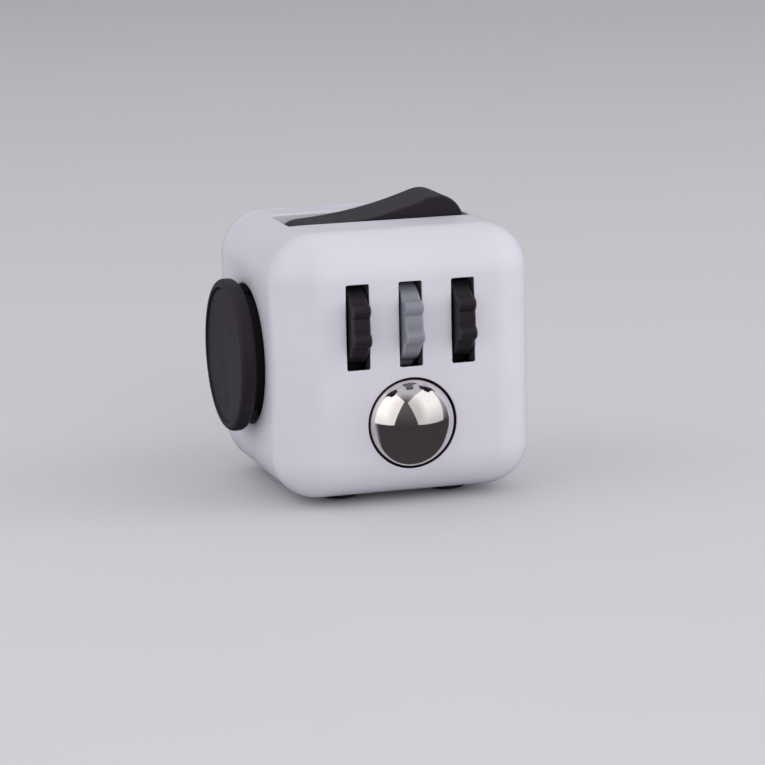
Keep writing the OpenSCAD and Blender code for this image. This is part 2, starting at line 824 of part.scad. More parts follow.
main_shell();
back_cover();
cover_screws();
roller_frame();
roller_frame_screws();
wheel_axle();
wheel_left();
wheel_middle();
wheel_right();
wheel_click_spring();
ball();
ball_seat_ring();
ball_cup();
ball_spring();
ball_housing();
ball_housing_screws();
glide_pad();
glide_skirt();
glide_screw();
glide_cross_slide();
glide_retainer();
glide_retainer_screws();
glide_springs_vertical();
glide_springs_sideways();
rocker();
rocker_pin();
rocker_plunger();
rocker_spring();
rocker_bracket();
rocker_bracket_screws();
dial();
dial_bushing();
dial_wave_washer();
dial_retainer();
dial_screw();
button_front_left();
button_front_right();
button_centre();
button_back_left();
button_back_right();
dome_front_left();
dome_front_right();
dome_centre();
pad_back_left();
pad_back_right();
click_plate();
click_plate_screws();
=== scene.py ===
import json
import math

import bpy
import numpy as np
from mathutils import Matrix, Vector
from mathutils.geometry import delaunay_2d_cdt


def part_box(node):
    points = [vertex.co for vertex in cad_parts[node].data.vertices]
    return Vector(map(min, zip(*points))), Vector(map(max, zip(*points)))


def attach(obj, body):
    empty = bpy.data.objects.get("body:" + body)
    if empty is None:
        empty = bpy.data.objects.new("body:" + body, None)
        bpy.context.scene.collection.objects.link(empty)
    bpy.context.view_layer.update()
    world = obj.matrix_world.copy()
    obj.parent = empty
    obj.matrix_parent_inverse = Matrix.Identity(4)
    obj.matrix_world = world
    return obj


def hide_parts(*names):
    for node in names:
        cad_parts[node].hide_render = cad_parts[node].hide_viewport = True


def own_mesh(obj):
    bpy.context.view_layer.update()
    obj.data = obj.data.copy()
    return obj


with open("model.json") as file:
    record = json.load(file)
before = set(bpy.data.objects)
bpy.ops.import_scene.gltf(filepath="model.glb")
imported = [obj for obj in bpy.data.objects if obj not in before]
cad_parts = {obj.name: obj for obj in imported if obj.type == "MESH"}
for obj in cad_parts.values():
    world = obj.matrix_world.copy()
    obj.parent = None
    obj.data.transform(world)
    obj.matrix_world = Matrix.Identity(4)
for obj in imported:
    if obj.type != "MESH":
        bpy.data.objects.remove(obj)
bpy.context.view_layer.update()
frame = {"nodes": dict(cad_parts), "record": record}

# Sizes are in millimetres about the centre of the cube's body, and MM takes them into the scene.
MM = 0.001
shell_low, shell_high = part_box("main_shell")
FACE = (shell_high.x - shell_low.x) / 2 / MM
CENTRE = Vector((
    (shell_low.x + shell_high.x) / 2,
    shell_low.y + FACE * MM,
    (shell_low.z + shell_high.z) / 2,
))

# The shell: the radius of its edges, its wall, how far out its faces are flat and its inner edge radius
EDGE = 5.7
WALL = 2.0
FLAT = FACE - EDGE
INSIDE = EDGE - WALL

# The parting line, where the cover starts behind it, and how they and an opening's rim are rounded
SEAM = 10.0
COVER_SEAM = SEAM + 0.05
SEAM_ROUND = 0.09
RIM = 0.16

# Steps round an edge, round a corner, and until an outline settles on the rounded faces
ARC_STEPS = 5
CORNER_STEPS = 8
SETTLE_STEPS = 16

# How far an opening may reach into the inner edge, as a share of its radius
EDGE_SHARE = 0.69
TURN = 2 * math.pi


def node_centre(node):
    """The middle of a CAD node, in millimetres about the cube's centre."""
    low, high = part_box(node)
    return np.array((low + high) / 2 - CENTRE) / MM


def unit(v):
    """Vectors scaled to length 1."""
    v = np.asarray(v, float)
    return v / np.maximum(np.linalg.norm(v, axis=-1, keepdims=True), 1e-12)


class Surface:
    """Faces with exact corner normals, welded into one mesh."""

    # Points within a cell of this size are one. The shift keeps round coordinates off the cells' edges.
    weld = 2e-4
    shift = 0.137

    def __init__(self):
        self.points = []
        self.index = {}
        self.faces = []
        self.normals = []
        self.worn = set()
        self.painted_shade_points = set()

    def vertex(self, p):
        """The index of a point, which it shares with the others in its cell."""
        key = tuple(round(float(c) / self.weld + self.shift) for c in p)
        if key not in self.index:
            self.index[key] = len(self.points)
            self.points.append([float(c) for c in p])
        return self.index[key]

    def face(self, points, normals):
        """Adds a face that looks the way its corner normals do, without the corners that weld together."""
        ids, kept = [], []
        for p, n in zip(points, normals):
            i = self.vertex(p)
            if i not in ids:
                ids.append(i)
                kept.append(n)
        if len(ids) < 3:
            return
        corners = [np.array(self.points[i]) for i in ids]
        spokes = [corner - corners[0] for corner in corners[1:]]
        flat = sum(np.cross(a, b) for a, b in zip(spokes, spokes[1:]))
        if np.dot(flat, np.sum(kept, axis=0)) < 0:
            ids.reverse()
            kept.reverse()
        self.faces.append(ids)
        self.normals += kept

    def strip(self, ring_a, ring_b, normals_a, normals_b, closed=True):
        """Joins two rings of as many points with a band of faces."""
        count = len(ring_a)
        for i in range(count if closed else count - 1):
            j = (i + 1) % count
            self.face(
                [ring_a[i], ring_a[j], ring_b[j], ring_b[i]],
                [normals_a[i], normals_a[j], normals_b[j], normals_b[i]],
            )

    def wear(self, ring):
        """Marks a ring of points on an edge, where handling polishes it."""
        self.worn.update(self.vertex(p) for p in ring)

    def paint_shade(self, ring):
        """Marks a ring of points deep in a slot, where the colour is darkened as painted shade because
        little light arrives.
        """
        self.painted_shade_points.update(self.vertex(p) for p in ring)

    def build(self, name, body, slot_name, node):
        """Makes the piece that rides on body, takes its look from the slot and stands for the CAD node."""
        mesh = bpy.data.meshes.new(name)
        mesh.from_pydata([CENTRE + MM * Vector(p) for p in self.points], [], self.faces)
        mesh.polygons.foreach_set("use_smooth", [True] * len(mesh.polygons))
        mesh.normals_split_custom_set([Vector(n).normalized() for n in self.normals])
        # One layer marks worn edges, the other marks the painted shade deep in openings.
        for label, marked in (("edge_wear", self.worn), ("painted_shade", self.painted_shade_points)):
            layer = mesh.attributes.new(label, "FLOAT", "POINT")
            layer.data.foreach_set("value", [float(i in marked) for i in range(len(self.points))])
        mesh.materials.append(looks[slot_name])
        piece = bpy.data.objects.new(name, mesh)
        bpy.context.scene.collection.objects.link(piece)
        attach(piece, body)
        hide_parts(node)


def loop_normals(rings, hints):
    """Normals of a grid of rings, by central differences, on the side that hints point to."""
    grid = np.array(rings)
    along = np.roll(grid, -1, axis=1) - np.roll(grid, 1, axis=1)
    across = np.gradient(grid, axis=0)
    normals = unit(np.cross(along, across))
    flip = np.sign(np.sum(normals * np.array(hints), axis=2, keepdims=True))
    return normals * np.where(flip == 0, 1, flip)


def contains(loop, points):
    """Which of the points lie inside a closed loop."""
    loop, points = np.asarray(loop), np.asarray(points)
    inside = np.zeros(len(points), bool)
    for a, b in zip(loop, np.roll(loop, -1, axis=0)):
        crosses = (a[1] > points[:, 1]) != (b[1] > points[:, 1])
        with np.errstate(divide="ignore", invalid="ignore"):
            x = (b[0] - a[0]) * (points[:, 1] - a[1]) / (b[1] - a[1]) + a[0]
        inside ^= crosses & (points[:, 0] < x)
    return inside


def fill(surface, place, border, holes=(), grid=(), margin=0.3):
    """Triangles inside border and outside the holes; place takes 2D points to (points, normals)."""
    points, edges = [], []
    for loop in [border, *holes]:
        start, count = len(points), len(loop)
        points += [tuple(p) for p in loop]
        edges += [(start + i, start + (i + 1) % count) for i in range(count)]
    if len(grid):
        grid = np.asarray(grid)
        keep = contains(border, grid)
        for hole in holes:
            middle = np.mean(hole, axis=0)
            reach = np.asarray(hole) - middle
            grown = middle + reach + unit(reach) * margin
            keep &= ~contains(grown, grid)
        points += [tuple(p) for p in grid[keep]]
    flat_points, inside_border, epsilon = [Vector(p) for p in points], 1, 1e-7
    found, _, faces, sources, *_ = delaunay_2d_cdt(flat_points, edges, [], inside_border, epsilon)
    exact = np.array([points[s[0]] if s else tuple(v) for v, s in zip(found, sources)])
    middles = np.array([exact[list(f)].mean(axis=0) for f in faces])
    keep = np.ones(len(faces), bool)
    for hole in holes:
        keep &= ~contains(hole, middles)
    placed, normals = place(exact)
    for f, wanted in zip(faces, keep):
        if wanted:
            surface.face([placed[i] for i in f], [normals[i] for i in f])


# The rounded cube: six patches, each with parameters that run straight over the flat part of a
# face and then round its fillets by arc length, up to the middle of the edge.

FILLET_STEPS = 8
FLAT_STEPS = 9
REACH = FLAT + EDGE * math.pi / 4
fillet_samples = np.linspace(FLAT, REACH, FILLET_STEPS + 1)
flat_samples = np.linspace(-FLAT, FLAT, 2 * FLAT_STEPS + 1)
SAMPLES = np.concatenate([-fillet_samples[::-1], flat_samples[1:-1], fillet_samples])

# Each face as (axis it faces along, its direction, the two axes across it)
FRONT, BACK = (1, -1, 0, 2), (1, 1, 0, 2)
LEFT, RIGHT = (0, -1, 2, 1), (0, 1, 2, 1)
BOTTOM, TOP = (2, -1, 0, 1), (2, 1, 0, 1)


def bend(t):
    """The flat part of a parameter, and the slope of the surface there."""
    over = np.maximum(np.abs(t) - FLAT, 0)
    return np.clip(t, -FLAT, FLAT), np.sign(t) * np.tan(over / EDGE)


def to_axes(face, a, b, out):
    """Points or vectors in space, from their parts along a face's two axes and outwards."""
    axis, sign, first, second = face
    result = np.zeros((len(a), 3))
    result[:, first], result[:, second], result[:, axis] = a, b, sign * np.asarray(out)
    return result


def on_patch(face, radius):
    """Takes parameters on a face to (points, normals), with its edges rounded at radius."""
    def place(uv):
        uv = np.asarray(uv, float)
        (base_a, slope_a), (base_b, slope_b) = bend(uv[:, 0]), bend(uv[:, 1])
        away = unit(np.stack([slope_a, slope_b, np.ones(len(uv))], axis=1))
        out = radius * away
        points = to_axes(face, base_a + out[:, 0], base_b + out[:, 1], FLAT + out[:, 2])
        return points, to_axes(face, *away.T)
    return place


def height(ab, radius):
    """Height of the rounded cube over points on a face's plane."""
    over = np.maximum(np.abs(ab) - FLAT, 0)
    return FLAT + np.sqrt(np.maximum(radius ** 2 - (over ** 2).sum(axis=1), 0))


def to_patch(ab, radius):
    """Parameters of the points that lie straight above points of a face's plane."""
    ab = np.asarray(ab, float)
    over = np.maximum(np.abs(ab) - FLAT, 0)
    rise = np.sqrt(np.maximum(radius ** 2 - (over ** 2).sum(axis=1, keepdims=True), 1e-9))
    return np.where(over > 0, np.sign(ab) * (FLAT + EDGE * np.arctan2(over, rise)), ab)


def border(first, second):
    """The outline of a patch, through every sample."""
    a0, a1, b0, b1 = first[0], first[-1], second[0], second[-1]
    return (
        [(a, b0) for a in first[:-1]]
        + [(a1, b) for b in second[:-1]]
        + [(a, b1) for a in first[:0:-1]]
        + [(a0, b) for b in second[:0:-1]]
    )


def spokes_of(count):
    """Unit vectors to count points round a circle."""
    angles = np.linspace(0, TURN, count, endpoint=False)
    return np.stack([np.cos(angles), np.sin(angles)], axis=1)


def circle(radius, middle=(0, 0), count=96):
    """An outline, which is a function of how far it grows and of its level, for a round hole."""
    out = spokes_of(count)
    return lambda grow, level: np.array(middle) + out * (np.asarray(radius + grow) * np.ones(count))[:, None]


def rectangle(half_a, half_b, corner, middle=(0, 0), along=26, across=14):
    """A rectangle with round corners. half_b may be a function of the level, and along and across are
    the steps on its sides."""
    def outline(grow, level):
        tall = np.mean(half_b(level) if callable(half_b) else half_b)
        points = []
        for quarter, (sa, sb) in enumerate([(1, 1), (-1, 1), (-1, -1), (1, -1)]):
            pivot = np.array([sa * (half_a - corner), sb * (tall - corner)])
            for k in range(CORNER_STEPS + 1):
                angle = (quarter + k / CORNER_STEPS) * math.pi / 2
                points.append(pivot + (corner + grow) * np.array([math.cos(angle), math.sin(angle)]))
            steps = along if quarter % 2 == 0 else across
            turned = [(-1, 1), (-1, -1), (1, -1), (1, 1)][quarter]
            target = np.array([turned[0] * (half_a - corner), turned[1] * (tall - corner)])
            angle = (quarter + 1) * math.pi / 2
            target = target + (corner + grow) * np.array([math.cos(angle), math.sin(angle)])
            start = points[-1]
            points += [start + (target - start) * k / steps for k in range(1, steps)]
        return np.array(middle) + np.array(points)
    return outline


def on_surface(outline, grow, radius):
    """An outline laid on the rounded cube, as plane points and their heights."""
    level = np.full(len(outline(grow, FACE)), FACE)
    for _ in range(SETTLE_STEPS):
        ab = outline(grow, level)
        level = height(ab, radius)
    return ab, level


def opening(surface, face, outline, rim=RIM, bottom=None, steps=3, with_painted_shade=False):
    """Rounds the rim of an opening and runs its wall inwards. Returns the loops to leave out of the
    outer patch and the inner patch."""
    rings, hints = [], []
    middle = np.mean(outline(0, FACE), axis=0)
    first_ab, _ = on_surface(outline, rim, EDGE)
    outer_loop = to_patch(first_ab, EDGE)
    placed, normals = on_patch(face, EDGE)(outer_loop)
    rings.append(placed)
    hints.append(normals)
    for k in range(1, ARC_STEPS + 1):
        turn = k / ARC_STEPS * math.pi / 2
        grow, drop = rim * (1 - math.sin(turn)), rim * (1 - math.cos(turn))
        ab, level = on_surface(outline, grow, EDGE)
        ab = outline(grow, level - drop)
        rings.append(to_axes(face, ab[:, 0], ab[:, 1], level - drop))
        inward = unit(middle - ab)
        hints.append(to_axes(face, inward[:, 0] * math.sin(turn), inward[:, 1] * math.sin(turn),
                             np.full(len(ab), math.cos(turn))))
    start = level - rim
    if bottom is None:
        inner_ab, _ = on_surface(outline, 0, INSIDE)
        reach = FLAT + INSIDE * EDGE_SHARE
        inner_ab = np.clip(inner_ab, -reach, reach)
        end = height(inner_ab, INSIDE)
    else:
        end = np.full(len(start), bottom)
    for k in range(1, steps + 1):
        level = start + (end - start) * k / steps
        ab = outline(0, level)
        if bottom is None and k == steps:
            ab = inner_ab
        rings.append(to_axes(face, ab[:, 0], ab[:, 1], level))
        inward = unit(middle - ab)
        hints.append(to_axes(face, inward[:, 0], inward[:, 1], np.zeros(len(ab))))
    smooth = loop_normals(rings, hints)
    smooth[0] = normals
    if bottom is None:
        inner_loop = to_patch(inner_ab, INSIDE)
        rings[-1] = on_patch(face, INSIDE)(inner_loop)[0]
    else:
        inner_loop = ab
    for k in range(len(rings) - 1):
        surface.strip(rings[k], rings[k + 1], smooth[k], smooth[k + 1])
        if 1 <= k < ARC_STEPS:
            surface.wear(rings[k])
        # Painted shade: the wall from near the foot of the rim inwards is marked to be darkened.
        if with_painted_shade and k >= ARC_STEPS - 1:
            surface.paint_shade(rings[k])
    return outer_loop, inner_loop


def patch(surface, face, second=SAMPLES, radius=EDGE, holes=()):
    """One face of the rounded cube, seen from outside, or from inside at the inner radius."""
    place = on_patch(face, radius)
    inward = (lambda uv: (place(uv)[0], -place(uv)[1])) if radius < EDGE else place
    grid = [(a, b) for a in SAMPLES[1:-1] for b in second[1:-1]]
    fill(surface, inward, border(SAMPLES, second), holes, grid)


def seam_rim(surface, edge, toward):
    """Rounds the outer edge at the parting line and closes the wall there."""
    start = edge - toward * SEAM_ROUND
    for face in (LEFT, RIGHT, BOTTOM, TOP):
        side = np.stack([SAMPLES, np.full(len(SAMPLES), start)], axis=1)
        ring, normals = on_patch(face, EDGE)(side)
        flat_side = np.stack([SAMPLES, np.zeros(len(SAMPLES))], axis=1)
        for k in range(1, ARC_STEPS + 1):
            turn = k / ARC_STEPS * math.pi / 2
            inset, y = SEAM_ROUND * (1 - math.cos(turn)), edge - toward * SEAM_ROUND * (1 - math.sin(turn))
            points, out = on_patch(face, EDGE - inset)(flat_side)
            points[:, 1] = y
            turned = out * math.cos(turn) + np.array([0, toward * math.sin(turn), 0])
            surface.strip(ring, points, normals, turned, closed=False)
            ring, normals = points, turned
        points, _ = on_patch(face, INSIDE)(np.stack([SAMPLES, np.full(len(SAMPLES), edge)], axis=1))
        square = np.tile([0.0, toward, 0.0], (len(points), 1))
        surface.strip(ring, points, square, square, closed=False)


def lathe(surface, profile, origin, axis, across, count=96):
    """Turns a profile of (radius, distance along axis, radial part and axial part of the normal)."""
    axis, across = np.array(axis, float), np.array(across, float)
    third = np.cross(axis, across)
    angles = np.linspace(0, TURN, count, endpoint=False)
    out = np.cos(angles)[:, None] * across + np.sin(angles)[:, None] * third
    rings = [(np.array(origin) + r * out + h * axis, nr * out + nh * axis, r) for r, h, nr, nh in profile]
    for (a, na, ra), (b, nb, rb) in zip(rings, rings[1:]):
        if ra < 1e-9 and rb < 1e-9:
            continue
        surface.strip(a, b, na, nb)


def arc(middle, radius, start, stop, steps=6, inward=False):
    """Profile points on an arc, with angles in degrees from the radial direction towards the axis."""
    sign = -1 if inward else 1
    points = []
    for k in range(steps + 1):
        turn = math.radians(start + (stop - start) * k / steps)
        c, s = math.cos(turn), math.sin(turn)
        points.append((middle[0] + radius * c, middle[1] + radius * s, sign * c, sign * s))
    return points


def bowl(radius, centre, edge, steps, start=1, side=1):
    """Profile points down a spherical bowl, from its edge to its middle. side is -1 for its back."""
    turns = [edge * (1 - k / steps) for k in range(start, steps + 1)]
    return [(radius * math.sin(t), centre - radius * math.cos(t), -side * math.sin(t), side * math.cos(t))
            for t in turns]


def smooth_max(a, b, mix):
    """The larger of two heights, rounded over where they meet."""
    near = np.maximum(mix - np.abs(a - b), 0) / mix
    return np.maximum(a, b) + near ** 2 * mix / 4


# Materials. Object coordinates are metres in the part's own frame.

def nodes_of(name):
    """A new material, its node tree and its shader."""
    made = bpy.data.materials.new(name)
    made.use_nodes = True
    tree = made.node_tree
    shader = tree.nodes["Principled BSDF"]
    return made, tree, shader


def noise(tree, scale, stretch=(1, 1, 1), detail=3.0, roughness=0.6):
    """Noise from 0 to 1. A stretch below 1 draws it out along that axis."""
    where = tree.nodes.new("ShaderNodeTexCoord")
    mapping = tree.nodes.new("ShaderNodeMapping")
    mapping.inputs["Scale"].default_value = stretch
    texture = tree.nodes.new("ShaderNodeTexNoise")
    texture.inputs["Scale"].default_value = scale
    texture.inputs["Detail"].default_value = detail
    texture.inputs["Roughness"].default_value = roughness
    tree.links.new(where.outputs["Object"], mapping.inputs["Vector"])
    tree.links.new(mapping.outputs["Vector"], texture.inputs["Vector"])
    return texture.outputs["Fac"]


def spread(tree, value, low, high, start=0.3, stop=0.7):
    """Takes a value from the range start to stop to the range low to high."""
    node = tree.nodes.new("ShaderNodeMapRange")
    node.inputs["From Min"].default_value = start
    node.inputs["From Max"].default_value = stop
    node.inputs["To Min"].default_value = low
    node.inputs["To Max"].default_value = high
    tree.links.new(value, node.inputs["Value"])
    return node.outputs["Result"]


def blend_colours(tree, factor, first, second):
    """Mixes two colours, each a tuple or a socket."""
    node = tree.nodes.new("ShaderNodeMix")
    node.data_type = "RGBA"
    tree.links.new(factor, node.inputs["Factor"])
    for socket, value in ((node.inputs[6], first), (node.inputs[7], second)):
        if isinstance(value, tuple):
            socket.default_value = (*value, 1)
        else:
            tree.links.new(value, socket)
    return node.outputs[2]


def multiply(tree, first, second):
    """The product of two values, each a number or a socket."""
    node = tree.nodes.new("ShaderNodeMath")
    node.operation = "MULTIPLY"
    for socket, value in zip(node.inputs, (first, second)):
        if isinstance(value, (int, float)):
            socket.default_value = value
        else:
            tree.links.new(value, socket)
    return node.outputs[0]


def bumped(tree, shader, heights):
    """Chains bumps, each of (height, depth in metres, strength)."""
    last = None
    for value, depth, strength in heights:
        node = tree.nodes.new("ShaderNodeBump")
        node.inputs["Distance"].default_value = depth
        node.inputs["Strength"].default_value = strength
        tree.links.new(value, node.inputs["Height"])
        if last:
            tree.links.new(last, node.inputs["Normal"])
        last = node.outputs["Normal"]
    tree.links.new(last, shader.inputs["Normal"])


# Near-black colour of the painted shade that darkens the walls deep in the slots and round the ball's hole.
PAINTED_SHADE_COLOUR = (0.04, 0.038, 0.042)


def plastic(name, shade, other, worn, roughness, grain=0.00001, stretch=(1, 1, 1), grain_scale=5000,
            specular=0.5, soft=0.0):
    """Moulded plastic: a slow drift of colour, a fine grain, worn edges and painted shade deep in the slots.
    """
    made, tree, shader = nodes_of(name)
    drift = noise(tree, 90, detail=2)
    fine = noise(tree, grain_scale, stretch=stretch, detail=2)
    marks = noise(tree, 420, stretch=(1, 1, 0.4), detail=6, roughness=0.7)
    edge, painted_shade = tree.nodes.new("ShaderNodeAttribute"), tree.nodes.new("ShaderNodeAttribute")
    edge.attribute_name, painted_shade.attribute_name = "edge_wear", "painted_shade"
    wear = multiply(tree, edge.outputs["Fac"], spread(tree, marks, 0.15, 0.9, 0.4, 0.62))
    colour = blend_colours(tree, spread(tree, drift, 0, 1, 0.35, 0.65), shade, other)
    colour = blend_colours(tree, wear, colour, worn)
    # Painted shade: points marked deep in openings are darkened most of the way to near black.
    colour = blend_colours(tree, multiply(tree, painted_shade.outputs["Fac"], 0.9), colour, PAINTED_SHADE_COLOUR)
    tree.links.new(colour, shader.inputs["Base Color"])
    rough = spread(tree, marks, roughness - 0.05, roughness + 0.07)
    tree.links.new(rough, shader.inputs["Roughness"])
    shader.inputs["Specular IOR Level"].default_value = specular
    if soft:
        shader.inputs["Subsurface Weight"].default_value = soft
        shader.inputs["Subsurface Radius"].default_value = (1.0, 0.9, 0.85)
        shader.inputs["Subsurface Scale"].default_value = 0.0008
    bumped(tree, shader, [(marks, 0.00003, 0.12), (fine, grain, 0.5)])
    return made


def metal(name, shade, roughness, brushing=(1, 1, 1), scale=2500, depth=0.000004):
    """Bare metal: a slow drift of colour and fine streaks, drawn out by brushing."""
    made, tree, shader = nodes_of(name)
    drift = noise(tree, 160, detail=3)
    streak = noise(tree, scale, stretch=brushing, detail=3)
    dark = tuple(0.86 * c for c in shade)
    tree.links.new(blend_colours(tree, spread(tree, drift, 0, 1), shade, dark), shader.inputs["Base Color"])
    tree.links.new(spread(tree, streak, roughness * 0.7, roughness * 1.4), shader.inputs["Roughness"])
    shader.inputs["Metallic"].default_value = 1.0
    bumped(tree, shader, [(streak, depth, 0.3)])
    return made


looks = {
    "shell_plastic": plastic(
        "shell_plastic", (0.70, 0.685, 0.765), (0.675, 0.66, 0.74), (0.74, 0.73, 0.80), 0.36,
        grain=0.000006, soft=0.05,
    ),
    "black_plastic": plastic(
        "black_plastic", (0.018, 0.0145, 0.0195), (0.022, 0.018, 0.024), (0.05, 0.045, 0.054), 0.56,
        grain=0.00006, stretch=(0.12, 1, 1), grain_scale=2400, specular=0.19,
    ),
    "grey_plastic": plastic(
        "grey_plastic", (0.235, 0.245, 0.295), (0.215, 0.222, 0.262), (0.32, 0.33, 0.375), 0.33,
        stretch=(0.2, 1, 1), grain_scale=4200, specular=0.45,
    ),
    "frame_plastic": plastic(
        "frame_plastic", (0.10, 0.10, 0.107), (0.085, 0.085, 0.09), (0.16, 0.16, 0.17), 0.5,
    ),
    "slide_plastic": plastic(
        "slide_plastic", (0.7, 0.66, 0.58), (0.66, 0.62, 0.54), (0.77, 0.74, 0.67), 0.3,
    ),
    "rubber": plastic(
        "rubber", (0.03, 0.03, 0.032), (0.04, 0.04, 0.042), (0.06, 0.06, 0.062), 0.75,
        grain=0.00003, grain_scale=2500, specular=0.3,
    ),
    "steel": metal("steel", (0.6, 0.6, 0.61), 0.28, brushing=(1, 0.1, 1)),
    "ball_steel": metal("ball_steel", (0.84, 0.81, 0.80), 0.05, scale=900, depth=0.0000006),
}


def cad_materials():
    """Gives every CAD node the look of its own slot."""
    for sub in frame["record"]["subparts"]:
        node = frame["nodes"][sub["node"]]
        node.data.materials.clear()
        node.data.materials.append(looks[sub["material_slot"]])


cad_materials()


# The shell

AXLE = node_centre("wheel_axle")
BALL = node_centre("ball")
WHEELS = ["left", "middle", "right"]
BALL_RADIUS = 6.0
BALL_GAP = 0.17
SLOT_RADIUS = math.hypot(3.4, 5.2)
SLOT_HALF_WIDTH = 1.45
SLOT_CORNER = 0.22
WIDE_RIM = 0.2
ROCKER_SLOT = (11.75, 4.8, 0.5)
PAD_HOLE = 8.8
BUTTONS = ["front_left", "front_right", "centre", "back_left", "back_right"]
BUTTON_RADIUS = 2.6
BUTTON_GAP = 0.08
DISH = {"mouth": 9.8, "depth": 3.0, "rim": 0.9, "wall": 1.8}
DISH["sphere"] = (DISH["mouth"] ** 2 + DISH["depth"] ** 2) / (2 * DISH["depth"])
DISH["x"] = FACE - DISH["depth"] + DISH["sphere"]
RECESS = {"radius": 9.35, "rim": 0.25, "floor": FACE - 1.4, "inside": 13.1, "boss": 9.95, "bushing": 3.0,
          "screw_at": 6.9, "head": 1.4, "head_depth": 1.0, "shank": 0.75}


def slot_half_height(level):
    """Half the height of a wheel's slot, whose ends are round about the axle."""
    return np.sqrt(SLOT_RADIUS ** 2 - (np.asarray(level) + AXLE[1]) ** 2)


def ball_outline(grow, level, count=128):
    """The ball's hole, which is round about the ball's centre in depth too."""
    level = np.asarray(level) * np.ones(count)
    radius = np.sqrt(np.maximum((BALL_RADIUS + BALL_GAP) ** 2 - (level + BALL[1]) ** 2, 1)) + grow
    return np.array([BALL[0], BALL[2]]) + radius[:, None] * spokes_of(count)


def dish(surface):
    """The bowl in the right face: a rolled rim, then a sphere down to its middle."""
    rim, sphere, count = DISH["rim"], DISH["sphere"], 128
    reach = DISH["x"] - FACE + rim
    middle = math.sqrt((sphere + rim) ** 2 - reach ** 2)
    mouth = math.asin(middle / (sphere + rim))
    profile = arc((middle, FACE - rim), rim, 90, 90 + math.degrees(mouth), 8)
    profile += bowl(sphere, DISH["x"], mouth, 24)
    lathe(surface, profile, (0, 0, 0), (1, 0, 0), (0, 0, 1), count)
    back = sphere + DISH["wall"]
    edge = math.acos((DISH["x"] - FACE + WALL) / back)
    cap = bowl(back, DISH["x"], edge, 8, start=0, side=-1)
    lathe(surface, cap, (0, 0, 0), (1, 0, 0), (0, 0, 1), count)
    ring = spokes_of(count) * (1, -1)
    return ring * middle, ring * cap[0][0]


def main_shell():
    s = Surface()
    front = []
    for name in WHEELS:
        middle = (node_centre("wheel_" + name)[0], AXLE[2])
        slot = rectangle(SLOT_HALF_WIDTH, slot_half_height, SLOT_CORNER, middle, 8, 20)
        # The wheels' slots and the ball's hole get painted shade on their deep walls.
        front.append(opening(s, FRONT, slot, steps=8, with_painted_shade=True))
    front.append(opening(s, FRONT, ball_outline, rim=WIDE_RIM, steps=6, with_painted_shade=True))
    top = [opening(s, TOP, rectangle(*ROCKER_SLOT), rim=WIDE_RIM)]
    left = [opening(s, LEFT, circle(PAD_HOLE), rim=WIDE_RIM)]
    bottom = []
    for name in BUTTONS:
        x, y, _ = node_centre("button_" + name)
        bottom.append(opening(s, BOTTOM, circle(BUTTON_RADIUS + BUTTON_GAP, (x, y), 64)))
    right = [dish(s)]
    to_seam = lambda end: np.append(SAMPLES[SAMPLES < SEAM - 0.5], end)
    for face, holes in ((FRONT, front), (TOP, top), (LEFT, left), (BOTTOM, bottom), (RIGHT, right)):
        outside = SAMPLES if face is FRONT else to_seam(SEAM - SEAM_ROUND)
        within = SAMPLES if face is FRONT else to_seam(SEAM)
        patch(s, face, outside, EDGE, [outer for outer, _ in holes])
        patch(s, face, within, INSIDE, [inner for _, inner in holes])
    seam_rim(s, SEAM, 1)
    s.build("shell_body", "case", "shell_plastic", "main_shell")


def back_cover():
    s = Surface()
    outer, floor_loop = opening(s, BACK, circle(RECESS["radius"]), rim=RECESS["rim"], bottom=RECESS["floor"])
    from_seam = lambda start: np.insert(SAMPLES[SAMPLES > FLAT + 0.2], 0, start)
    for face in (LEFT, RIGHT, BOTTOM, TOP):
        patch(s, face, from_seam(COVER_SEAM + SEAM_ROUND), EDGE)
        patch(s, face, from_seam(COVER_SEAM), INSIDE)
    boss = circle(RECESS["boss"])(0, 0)
    patch(s, BACK, SAMPLES, EDGE, [outer])
    patch(s, BACK, SAMPLES, INSIDE, [boss])
    seam_rim(s, COVER_SEAM, -1)

    def level(y, toward):
        return lambda ab: (to_axes(BACK, ab[:, 0], ab[:, 1], np.full(len(ab), y)),
                           np.tile([0.0, toward, 0.0], (len(ab), 1)))

    def wall(loop, start, stop, toward):
        a, b = level(start, 1)(loop)[0], level(stop, 1)(loop)[0]
        out = unit(loop - loop.mean(axis=0)) * toward
        normals = to_axes(BACK, out[:, 0], out[:, 1], np.zeros(len(out)))
        s.strip(a, b, normals, normals)

    inner_floor = RECESS["inside"]
    wall(boss, FACE - WALL, inner_floor, 1)
    bushing = circle(RECESS["bushing"], count=64)(0, 0)
    heads, shanks = ([circle(RECESS[part], (0, side * RECESS["screw_at"]), 32)(0, 0) for side in (-1, 1)]
                     for part in ("head", "shank"))
    step = RECESS["floor"] - RECESS["head_depth"]
    fill(s, level(RECESS["floor"], 1), floor_loop, [bushing, *heads])
    wall(bushing, RECESS["floor"], inner_floor, -1)
    for head, shank in zip(heads, shanks):
        wall(head, RECESS["floor"], step, -1)
        fill(s, level(step, 1), head, [shank])
        wall(shank, step, inner_floor, -1)
    fill(s, level(inner_floor, -1), boss, [bushing, *shanks])
    s.build("shell_back_cover", "case", "shell_plastic", "back_cover")


# Thumb wheels

WHEEL = {"half": 1.2, "base": 5.0, "bump": 0.9, "bump_at": 4.95, "pairs": 3, "split": 42, "phase": 5,
         "blend": 0.4, "hub": 2.0, "hub_half": 1.4, "bore": 1.05, "round": 0.35}


